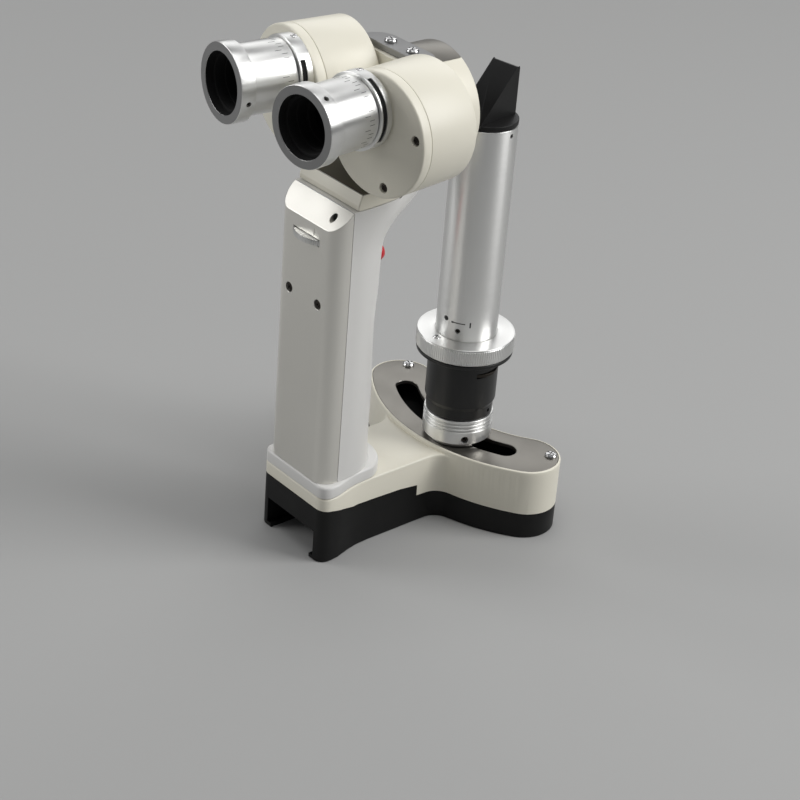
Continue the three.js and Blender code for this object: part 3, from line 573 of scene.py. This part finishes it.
# The grip's front edge from the side, as (z, y): the hand's swell, then the flare under the head.
GRIP = [
    (39.7, 55.4), (46, 54.6), (60, 54.2), (74, 54.3), (88, 53.7), (101, 53.0), (114, 53.0), (127, 54.1),
    (138, 54.3), (147, 54.9), (150.5, 55.9), (154.5, 58.8), (159, 64), (163.5, 71.5), (168, 77),
    (175.8, 80.3),
]


def grip_front(z):
    """The grip's front edge at a height, a smooth curve through the swells."""
    for i in range(len(GRIP) - 1):
        if GRIP[i][0] <= z <= GRIP[i + 1][0]:
            break
    p0, p1 = GRIP[max(i - 1, 0)], GRIP[i]
    p2, p3 = GRIP[i + 1], GRIP[min(i + 2, len(GRIP) - 1)]
    t = (z - p1[0]) / (p2[0] - p1[0])
    m1 = (p2[1] - p0[1]) / (p2[0] - p0[0]) * (p2[0] - p1[0])
    m2 = (p3[1] - p1[1]) / (p3[0] - p1[0]) * (p2[0] - p1[0])
    a, b = 2 * t ** 3 - 3 * t ** 2 + 1, t ** 3 - 2 * t ** 2 + t
    return a * p1[1] + b * m1 + (1 - a) * p2[1] + (t ** 3 - t ** 2) * m2


def grip_ring(z, front, rear=SEAM_Y + 0.2):
    """The grip's section at a height: half an ellipse in front, straight to the seam behind."""
    loop = []
    for i in range(49):
        a = math.pi * i / 48
        loop.append((HALF * math.cos(a), GRIP_Y + (front - GRIP_Y) * math.sin(a), z))
    loop += [(-HALF, rear, z), (HALF, rear, z)]
    return loop


def grip():
    heights = [39.7 + 136.1 * i / 90 for i in range(91)]
    rings = [grip_ring(z, grip_front(z)) for z in heights]
    body = skin("grip_moulding", rings)
    nose = disc("nose_clear", 27.1, 60, 100, LAMP @ at(0, 0, NOSE_Z) @ ALONG_Y, 96)
    rebate = block("rebate", -40, 40, 0, 54.2, 170.6, 300)
    hole = disc("button_hole", 4.6, 40, 70, LAMP @ at(0, 0, BUTTON_Z) @ ALONG_Y, 48)
    combine(body, [nose, rebate, hole])
    done(edges_softened(body, 0.3, 45), WHITE, "microscope_body", ["grip_shell"], 40)

    around = skin("around", [grip_ring(z, 80, 20) for z in (160, 190)])
    outline = eased([(28.5, 170.8), (28.5, 173.2), (30.2, 177.9), (54, 177.9), (54, 170.8)], 0.6)
    saddle = slab("neck_saddle_block", outline, -30, 30)
    combine(saddle, [around], "INTERSECT")
    # A grey metal strip on the saddle's top. It is partly a guessed bare-metal face and partly painted shade:
    # its darker grey stands in for the shade the drums cast here.
    around = skin("around", [grip_ring(z, 80, 20) for z in (160, 190)])
    face = slab("saddle_shade_strip", [(30.1, 177.5), (54, 177.5), (54, 178), (30.1, 178)], -30, 30)
    combine(face, [around], "INTERSECT")
    done(edges_softened(face, 0.15, 45), PLATE, "microscope_body")
    done(edges_softened(saddle, 0.4, 45), CREAM, "microscope_body", ["neck_saddle"], 40)

    profile = [
        (0, 46), (5.6, 46), (5.6, 51), (4.2, 51), (4.2, 57.6, 1), (3.5, 59.2, 1), (2, 60.1), (0, 60.3),
    ]
    cap = turned("shutter_cap", profile, LAMP @ at(0, 0, BUTTON_Z) @ ALONG_Y, 48, 0.3)
    done(cap, RED, "shutter", ["shutter_button"])


def wheel():
    """The dimmer wheel with a serrated edge, seen through the rear window."""
    outline = []
    teeth = 90
    for i in range(teeth):
        for r, share in ((13.95, 0.0), (WHEEL_R, 0.25), (WHEEL_R, 0.5), (13.95, 0.75)):
            a = 2 * math.pi * (i + share) / teeth
            outline.append((r * math.cos(a), r * math.sin(a)))
    body = prism("dimmer_thumbwheel", outline, -1.3, 1.3, LAMP @ at(0, WHEEL_Y, WHEEL_Z), 0.2, 0.2, 2)
    done(body, TURNED, "dimmer", ["dimmer_wheel"], 25)


# ---- microscope head -----------------------------------------------------------------------

HEAD_HALF, HEAD_FRONT, HEAD_TOP = 26.5, 70.4, 226.8
NOSE_Z, NOSE_R, NOSE_FRONT = 201, 26.9, 86.5
OBJECTIVE_X = 10.2


def on_objective_axis(side):
    return LAMP @ at(side * OBJECTIVE_X, 0, AXIS_Z) @ ALONG_Y


def head():
    back = DRUM_Y + DRUM_DEEP - 2.2
    lean = math.tan(math.radians(TOE_IN))
    plan = [
        (0, back), (HEAD_HALF, back + HEAD_HALF * lean), (HEAD_HALF, HEAD_FRONT),
        (-HEAD_HALF, HEAD_FRONT), (-HEAD_HALF, back + HEAD_HALF * lean),
    ]
    middle = prism("head_block", plan, 170, 240)
    side = [
        (-19.3, 176), (19.3, 176), (HEAD_HALF, 186, 8), (HEAD_HALF, HEAD_TOP, 1.5),
        (-HEAD_HALF, HEAD_TOP, 1.5), (-HEAD_HALF, 186, 8),
    ]
    across = prism("across", eased(side, 1.0, 6), -95, -20, LAMP @ spin(90, "X"))
    combine(middle, [across], "INTERSECT")
    front = LAMP @ at(0, 0, NOSE_Z) @ ALONG_Y
    profile = [
        (0, 69.4), (NOSE_R, 69.4), (NOSE_R, NOSE_FRONT, 0.9), (23.5, NOSE_FRONT), (23.5, 84.1), (0, 84.1),
    ]
    nose = turned("nose", profile, front, 128, 0.3)
    combine(nose, [block("top", -40, 40, 60, 100, 224.8, 250)])
    combine(middle, [nose], "UNION")
    bores = [disc("bore", 8.6, 30, 100, on_objective_axis(s), 48) for s in (-1, 1)]
    combine(middle, bores)
    done(edges_softened(middle, 0.35, 50), CREAM, "microscope_body", ["head_casting"], 34)

    profile = [(0, 70.7), (NOSE_R, 70.7), (NOSE_R, NOSE_FRONT, 0.9), (0, NOSE_FRONT)]
    inlay = turned("inlay", profile, front, 128, 0.2)
    combine(inlay, [block("below", -40, 40, 60, 100, 150, 225.0)])
    done(edges_softened(inlay, 0.2, 50), PLATE, "microscope_body", ["nose_inlay"])

    outline = [(-21, 58), (21, 58), (21, 59.8)] + arc(11, 59.8, 9.4, 0, 90, 12)[1:]
    outline += [(-x, y) for x, y in reversed(outline[2:])]
    top = prism("head_plate", outline, 227.1, 230, LAMP, 0.35, 0.1)
    done(top, BLASTED, "microscope_body", ["head_top_plate"])
    for s, word in ((-1, "left"), (1, "right")):
        screw = pan_screw("head_screw_" + word, 2.7, 1.5, LAMP @ at(s * 7.1, 63, 230.1) @ spin(30 * s + 10))
        done(screw, SCREW, "microscope_body", ["top_plate_screw_" + word])

    face = turned("objective_face", [(0, 84.4), (23.2, 84.4), (23.2, 86), (0, 86)], front, 96, 0.3)
    holes = [disc("hole", 8.9, 60, 100, on_objective_axis(s), 48) for s in (-1, 1)]
    combine(face, holes)
    done(face, ANODISED, "microscope_body", ["objective_plate"])
    for s, word in ((-1, "left"), (1, "right")):
        lens = turned("objective_" + word, lens_profile(8.3, 80, 2.4, 1.1), on_objective_axis(s), 64, 0)
        done(lens, DARK_GLASS, "microscope_body", [word + "_objective_lens"], 60)


def lens_profile(r, y, edge, bow):
    """A lens with two bowed faces about y, as thick as edge at its rim."""
    steps = 8
    out = [(r * i / steps, y - edge / 2 - bow * (1 - (i / steps) ** 2)) for i in range(steps + 1)]
    return out + [(x, 2 * y - h) for x, h in reversed(out)]


def drum(word, side):
    place = drum_place(side)
    lay = place @ ALONG_Y
    ocular_body = word + "_ocular"
    profile = [
        (0, DRUM_DEEP), (DRUM_R, DRUM_DEEP, 0.8), (DRUM_R, 5.0), (23.9, 5.0), (23.9, 28.4), (0, 28.4),
    ]
    shell = turned(word + "_drum_shell", profile, lay, 160, 0.3)
    port = disc("port", 8.4, 25, 36, place @ at(-side * 13.6, 0, 0) @ ALONG_Y, 48)
    combine(shell, [port])
    done(shell, CREAM, ocular_body, [word + "_prism_housing"])

    profile = [(0, 0), (DRUM_R, 0, 0.9), (DRUM_R, 4.82), (0, 4.82)]
    cover = turned(word + "_drum_cover", profile, lay, 160, 0.22)
    ocular = place @ at(-side * OCULAR_X, 0, OCULAR_Z)
    bore = disc("bore", 12.1, -2, 8, ocular @ ALONG_Y, 64)
    reach = DRUM_R - 4.6
    seats = []
    for a in (12, -74, 192):
        x, z = side * reach * math.cos(math.radians(a)), reach * math.sin(math.radians(a))
        seats.append(place @ at(x, 0, z) @ ALONG_Y)
    sink = [(0, -1), (2.35, -1), (2.2, 0.5), (1.9, 1.5), (0, 1.5)]
    combine(cover, [bore, *[turned("sink", sink, seat, 32, 0) for seat in seats]])
    done(cover, CREAM, ocular_body, [word + "_housing_cover"])
    for i, seat in enumerate(seats):
        sunk = seat @ at(0, 0, 1.2) @ spin(180, "X") @ spin(40 * i)
        screw = pan_screw(word + "_cover_screw_" + str(i + 1), 1.75, 0.8, sunk)
        done(screw, DARK_SCREW, ocular_body)
    eyepiece(word, side, ocular)


BARREL_R, RIM_R = 15, 17


def eyepiece(word, side, place):
    """Socket, dioptre barrel with its graduations, rim and lens, about the eyepiece's axis."""
    lay = place @ ALONG_Y
    ocular_body, dioptre_body = word + "_ocular", word + "_dioptre"
    socket = turned(word + "_socket", [
        (10.4, 4.2), (10.4, -0.9), (13.7, -0.9), (13.7, -7), (16.3, -7), (16.3, -0.9), (15.2, -0.9),
        (15.2, -0.3), (11.8, -0.3), (11.8, 4.2)], lay, 128, 0.25)
    low, high = (-34, 70) if side > 0 else (-66, 38)  # the slot that shows the scale, in degrees
    wedge = [(0.0, 0.0)] + arc(0, 0, 30, low, high, 24)
    slot = prism("slot", [(x, -z) for x, z in wedge][::-1], -6.1, -3.7, lay)
    combine(socket, [slot])
    floor = turned(word + "_slot_floor", [(13.9, -6.3), (15.8, -6.3), (15.8, -3.5), (13.9, -3.5)], lay, 96, 0)
    done(floor, INSIDE, ocular_body)
    done(socket, TURNED, ocular_body, [word + "_eyepiece_socket"])
    top = place @ spin(-6 * side, "Y") @ at(0, -2.6, 16.2)
    done(pan_screw(word + "_socket_screw", 1.5, 0.55, top @ spin(25)), SCREW, ocular_body)

    barrel = turned(word + "_barrel", [
        (12.2, -1.6), (13.3, -1.6), (13.3, -7.3), (BARREL_R, -7.3), (BARREL_R, -32.8), (13.4, -32.8),
        (13.4, -9), (12.2, -9)], lay, 128, 0.2)
    done(barrel, TURNED, dioptre_body, [word + "_dioptre_barrel"])
    graduations(word, side, place, dioptre_body)

    rim = turned(word + "_rim", [
        (13.25, -35.2, 0.1), (RIM_R, -35.2, 0.3), (RIM_R, -28.4, 0.4), (15.3, -28.4), (15.3, -33.1),
        (13.25, -33.1)], lay, 128, 0.15)
    angle = 57 if side > 0 else -13
    seats = [place @ spin(-turn, "Y") @ at(0, -31.6, 0) @ spin(90, "Y") for turn in (angle, angle + 180)]
    combine(rim, [disc("seat", 1.15, 14.5, 20, s, 32) for s in seats])
    done(rim, TURNED, dioptre_body, [word + "_eyepiece_rim"])
    for i, seat in enumerate(seats):
        done(disc(word + "_rim_screw_" + str(i), 1.1, 15.2, 16.0, seat, 24, 0.15), DARK_SCREW, dioptre_body)
    liner = turned(word + "_liner", [(13.18, -9), (13.34, -9), (13.34, -35.1), (13.18, -35.1)], lay, 96, 0)
    done(liner, INSIDE, dioptre_body)
    profile = [(13.3, -35.16), (13.3, -35.24), (16.8, -35.24), (16.8, -35.16)]
    face = turned(word + "_rim_face", profile, lay, 128, 0)
    done(face, BLASTED, dioptre_body)

    cell = turned(word + "_cell", [
        (9.6, -12), (13.1, -12), (13.1, -31.6), (11.6, -31.6), (11.6, -27), (10.8, -27), (10.8, -22),
        (9.6, -22)], lay, 96, 0.15)
    done(cell, INSIDE, word + "_lens_group", [word + "_lens_cell"])
    lens = turned(word + "_lens", lens_profile(9.3, -17.6, 2, 1.4), lay, 64, 0)
    done(lens, DARK_GLASS, word + "_lens_group", [word + "_eye_lens"], 60)
    back = turned(word + "_stop", [(0, -12.3), (9.5, -12.3), (9.5, -12.9), (0, -12.9)], lay, 48, 0)
    done(back, INSIDE, word + "_lens_group")


def strip_on_round(r, lift, spans):
    """Thin raised patches on a cylinder about Z: each span is (angle, half width, low, high) in mm."""
    verts, faces = [], []
    for angle, half, low, high in spans:
        wide = half / r
        steps = max(1, math.ceil(wide * 2 / 0.04))
        first = len(verts)
        for i in range(steps + 1):
            a = math.radians(angle) - wide + 2 * wide * i / steps
            for radius in (r - lift, r + lift):
                for h in (low, high):
                    verts.append((radius * math.cos(a), radius * math.sin(a), h))
        for i in range(steps):
            p = first + i * 4
            faces += [(p + 2, p + 3, p + 7, p + 6), (p, p + 4, p + 5, p + 1)]
            faces += [(p + 1, p + 5, p + 7, p + 3), (p, p + 2, p + 6, p + 4)]
        q = first + steps * 4
        faces += [(first, first + 1, first + 3, first + 2), (q, q + 2, q + 3, q + 1)]
    return verts, faces


def graduations(word, side, place, body):
    """The dioptre scale: a comb of short engraved lines near the socket; each third is longer."""
    spans = []
    centre = -38 if side > 0 else -62
    for i in range(-12, 13):
        row = -9.6 if i % 3 else -11.6
        long = 2.6 if i % 3 else 3.0
        spans.append((centre + i * 7.5, 0.1, row - long, row))
    verts, faces = strip_on_round(BARREL_R, 0.03, spans)
    marks = new_object(word + "_scale", verts, faces, place @ ALONG_Y)
    done(marks, INK, body)


# ---- tower ---------------------------------------------------------------------------------

TUBE_R = 14.1
FILTER_X, FILTER_Z, FILTER_TURN = 6.3, 74, 2.6  # the filter disc's own axis, beside the tower's


def tower():
    body = "lamp_tower"
    ring = [(5.3, 38.2), (16.2, 38.2, 0.25), (16.2, 43.6)]
    for z in (44.9, 46.7, 48.5):
        ring += [(16.2, z - 0.75, 0.15), (15.2, z - 0.35, 0.1), (15.2, z + 0.2, 0.1), (16.2, z + 0.6, 0.15)]
    ring += [(16.1, 50.1, 0.3), (12, 50.1), (12, 42.4), (5.3, 42.4)]
    base_ring = turned("lamp_base", ring, TOWER, 144, 0.15)
    radial_cut(base_ring, 1.8, 40.7, -37.5, 3)
    done(base_ring, TURNED, body, ["lamp_base_ring"])
    set_screw("base_set_screw", 1.7, 40.7, -37.5, 14.5, DARK_SCREW, body)
    washer = turned("lamp_washer", [(5.3, 35.8), (14, 35.8), (14, 38), (5.3, 38)], TOWER, 96, 0.3)
    done(washer, SCREW, body, ["pivot_washer"])

    housing = turned("lamp_barrel", [
        (12.2, 50.4), (15.5, 50.4), (15.5, 55.4), (16.4, 57.4), (16.4, 80.3), (12.6, 80.3), (12.6, 97),
        (11.4, 97), (11.4, 78.6), (12.9, 78.6), (12.9, 56.8), (12.2, 56.8)], TOWER, 144, 0.2)
    slot = disc("slot", 11.4, 72.8, 75.2, TOWER @ spin(FILTER_TURN) @ at(FILTER_X, 0, 0), 64)
    combine(housing, [slot])
    radial_cut(housing, 1.1, 53.0, 9.1, 2)
    done(housing, ANODISED, body, ["lamp_housing"])
    set_screw("housing_screw", 1.0, 53.0, 9.1, 14.9, SCREW, body)

    disc_place = TOWER @ spin(FILTER_TURN) @ at(FILTER_X, 0, FILTER_Z)
    profile = [(1.4, -0.8), (10.9, -0.8), (10.9, 0.8), (1.4, 0.8)]
    filter_disc = turned("filter_disc", profile, disc_place, 96, 0.2)
    holes = []
    for i in range(1, 6):
        holes.append(disc("hole", 2.9, -5, 5, disc_place @ spin(i * 72) @ at(-FILTER_X, 0, 0), 32))
    combine(filter_disc, holes)
    done(filter_disc, DARK_SCREW, "filter_selector", ["filter_wheel"])

    profile = [(13, 80.6), (22.2, 80.6, 0.5), (22.2, 82.4, 0.3), (13, 82.4)]
    flange = turned("slit_flange", profile, TOWER, 144, 0.3)
    done(flange, ANODISED, "slit_rotator", ["slit_angle_ring"])
    collar()

    profile = [(12.9, 86.6), (TUBE_R, 86.6), (TUBE_R, 192.3), (12.9, 192.3)]
    tube = turned("projector_tube", profile, TOWER, 160, 0.2)
    radial_cut(tube, 1.2, 95.7, -68, 3)
    radial_cut(tube, 1.0, 189.4, 1.7, 3)
    done(tube, TURNED, body, ["lamp_tube"])
    set_screw("tube_screw_low", 1.15, 95.7, -68, 13.2, DARK_SCREW, body)
    set_screw("tube_screw_high", 0.95, 189.4, 1.7, 13.2, DARK_SCREW, body)
    tube_marks(body)
    mirror_head(body)


def radial_cut(obj, r, z, angle, deep):
    """A round hole across the tower's wall at that height and bearing."""
    place = TOWER @ spin(angle) @ at(0, 0, z) @ spin(90, "Y")
    return combine(obj, [disc("cut", r, 16.4 - deep - 2, 24, place, 32)])


def set_screw(name, r, z, angle, depth, material, body):
    """A headless screw with a hexagon socket, its face at that radius from the tower's axis."""
    place = TOWER @ spin(angle) @ at(0, 0, z) @ spin(90, "Y")
    body_screw = disc(name, r, depth - 2.2, depth, place, 32, 0.15)
    socket = prism("hex", arc(0, 0, r * 0.5, 0, 300, 5), depth - 0.9, depth + 1, place)
    combine(body_screw, [socket])
    done(body_screw, material, body)


def collar():
    """The wide ring with straight knurling that turns the aperture disc."""
    profile = [(13, 82.7), (22.1, 82.7, 0.2), (22.1, 90.7, 0.2), (14.45, 90.7), (14.45, 86.2), (13, 86.2)]
    ring = turned("aperture_ring", profile, TOWER, 160, 0.2)
    teeth = 132
    end, valley, ridge = 22.05, 22.2985, 22.63
    rings = []
    for z, across in ((82.95, [end] * 4), (83.5, (valley, ridge, ridge, valley)),
                      (89.6, (valley, ridge, ridge, valley)), (90.25, [end] * 4)):
        loop = []
        for i in range(teeth):
            for k, r in enumerate(across):
                a = 2 * math.pi * (i + 0.25 * k) / teeth
                loop.append((r * math.cos(a), r * math.sin(a), z))
        rings.append(loop)
    knurl = skin("knurl_band", rings, TOWER)
    done(knurl, TURNED, "aperture_selector", (), 20)
    profile = [(14.45, 90.2), (22.45, 90.2), (22.45, 90.72, 0.25), (14.45, 90.72, 0.1)]
    lip = turned("collar_lip", profile, TOWER, 160, 0.2)
    done(lip, TURNED, "aperture_selector", ())
    seat = TOWER @ spin(-101) @ at(17.2, 0, 90.7)
    combine(ring, [disc("seat", 2.1, -1.3, 2, seat, 32)])
    done(ring, TURNED, "aperture_selector", ["aperture_collar"])
    screw = pan_screw("index_screw", 1.9, 0.9, seat @ at(0, 0, -0.35) @ spin(30))
    done(screw, SCREW, "aperture_selector")


def tube_marks(body):
    """Painted marks on the tube: a dot, a line with a thicker end, and a bar, for spot and slit."""
    spans = []
    for k in range(-4, 5):
        h = 1.15 * math.sqrt(1 - (k / 4.5) ** 2)
        spans.append((-94.4 + math.degrees(k * 0.26 / TUBE_R), 0.15, 100.4 - h, 100.4 + h))
    spans.append((-67.9, 3.1, 99.45, 99.9))
    spans.append((-79.9, 0.55, 99.25, 100.1))
    spans.append((-45.9, 0.32, 98.1, 100.7))
    verts, faces = strip_on_round(TUBE_R, 0.04, spans)
    done(new_object("tube_marks", verts, faces, TOWER), INK, body)


def mirror_head(body):
    """The plug in the tube's end, with the sloping box that holds the mirror."""
    profile = [
        (9.6, 186.4), (12.5, 186.4), (12.5, 192.6), (TUBE_R, 192.6), (TUBE_R, 194.8), (5.2, 194.8),
        (5.2, 192.6), (9.6, 192.6),
    ]
    plug = turned("mirror_base", profile, TOWER, 128, 0.25)
    side = eased([(-13.2, 194.3), (9.7, 216.4, 0.6), (10.8, 216.4, 0.5), (10.8, 194.3)], 0.0, 4)
    wedge = slab("wedge", side, -6.9, 6.9, TOWER, 0.35)
    inside = [(-6.6, 190), (-6.6, 195.8), (9.2, 210.8), (20, 210.8), (20, 190)]
    combine(wedge, [slab("hollow", inside, -5.3, 5.3, TOWER)])
    combine(plug, [wedge], "UNION")
    done(plug, MATT_BLACK, body, ["mirror_holder"], 34)


# ---- what stays as the CAD mesh ---------------------------------------------------------------

def inner_parts():
    finishes = {
        "button_switch": MATT_BLACK, "dimmer_potentiometer": MATT_BLACK, "battery_pack": CRADLE,
        "battery_contacts": BRASS, "driver_board": BOARD, "swing_pivot": BRASS, "led_heat_sink": BLASTED,
        "led_module": LAMP_BODY, "condenser_lens": GLASS, "filter_carrier": BLASTED, "slit_plate": MATT_BLACK,
        "aperture_disc": MATT_BLACK, "projection_lens": GLASS, "mirror": MIRROR,
        "left_prism": GLASS, "right_prism": GLASS,
    }
    for node, material in finishes.items():
        repaint(node, material)


# ---- floor, light and camera -----------------------------------------------------------------

def area_light(name, bearing, height, distance, width, tall, power):
    """A soft box aimed at the lamp's middle. Bearings run anticlockwise from the operator's side."""
    data = bpy.data.lights.new(name, "AREA")
    data.shape = "RECTANGLE"
    data.size = width
    data.size_y = tall
    data.energy = power
    light = bpy.data.objects.new(name, data)
    bpy.context.scene.collection.objects.link(light)
    a = math.radians(bearing)
    light.location = Vector((math.sin(a) * distance, -math.cos(a) * distance, height))
    aim = Vector((0, 0, 0.12)) - light.location
    light.rotation_euler = aim.to_track_quat("-Z", "Y").to_euler()


def studio():
    half = 6000
    corners = [(-half, -half, 0), (half, -half, 0), (half, half, 0), (-half, half, 0)]
    floor = new_object("floor", corners, [(0, 1, 2, 3)], Matrix.Identity(4))
    floor.data.materials.append(surface("plain_floor", "#A2A2A1", 0.9)[0])
    world = bpy.data.worlds.new("studio")
    bpy.context.scene.world = world
    world.use_nodes = True
    background = world.node_tree.nodes["Background"]
    background.inputs[0].default_value = (0.62, 0.63, 0.65, 1)
    background.inputs[1].default_value = 0.22
    area_light("soft_left", -48, 0.7, 1.5, 0.8, 1.0, 9)
    area_light("soft_right", 132, 1.15, 1.5, 0.9, 1.4, 24)
    area_light("soft_far", 226, 1.3, 1.9, 2.4, 1.2, 12)
    area_light("overhead", 60, 2.0, 0.25, 1.3, 1.3, 14)

    data = bpy.data.cameras.new("camera")
    data.sensor_width = 36
    data.lens = 94.8
    camera = bpy.data.objects.new("camera", data)
    bpy.context.scene.collection.objects.link(camera)
    az, el, roll = math.radians(48.03), math.radians(29.63), math.radians(4.64)
    ahead = Vector((-math.sin(az) * math.cos(el), math.cos(az) * math.cos(el), -math.sin(el)))
    right = ahead.cross(Vector((0, 0, 1))).normalized()
    up = right.cross(ahead)
    turned_right = right * math.cos(roll) + up * math.sin(roll)
    turned_up = up * math.cos(roll) - right * math.sin(roll)
    rotation = Matrix((turned_right, turned_up, -ahead)).transposed().to_4x4()
    camera.matrix_world = at(626.72, -485.68 + SHIFT, 535.26) @ rotation
    bpy.context.scene.camera = camera
    bpy.context.scene.view_settings.view_transform = "Standard"


base()
foot()
rear_cover()
grip()
wheel()
head()
drum("left", -1)
drum("right", 1)
tower()
inner_parts()
studio()
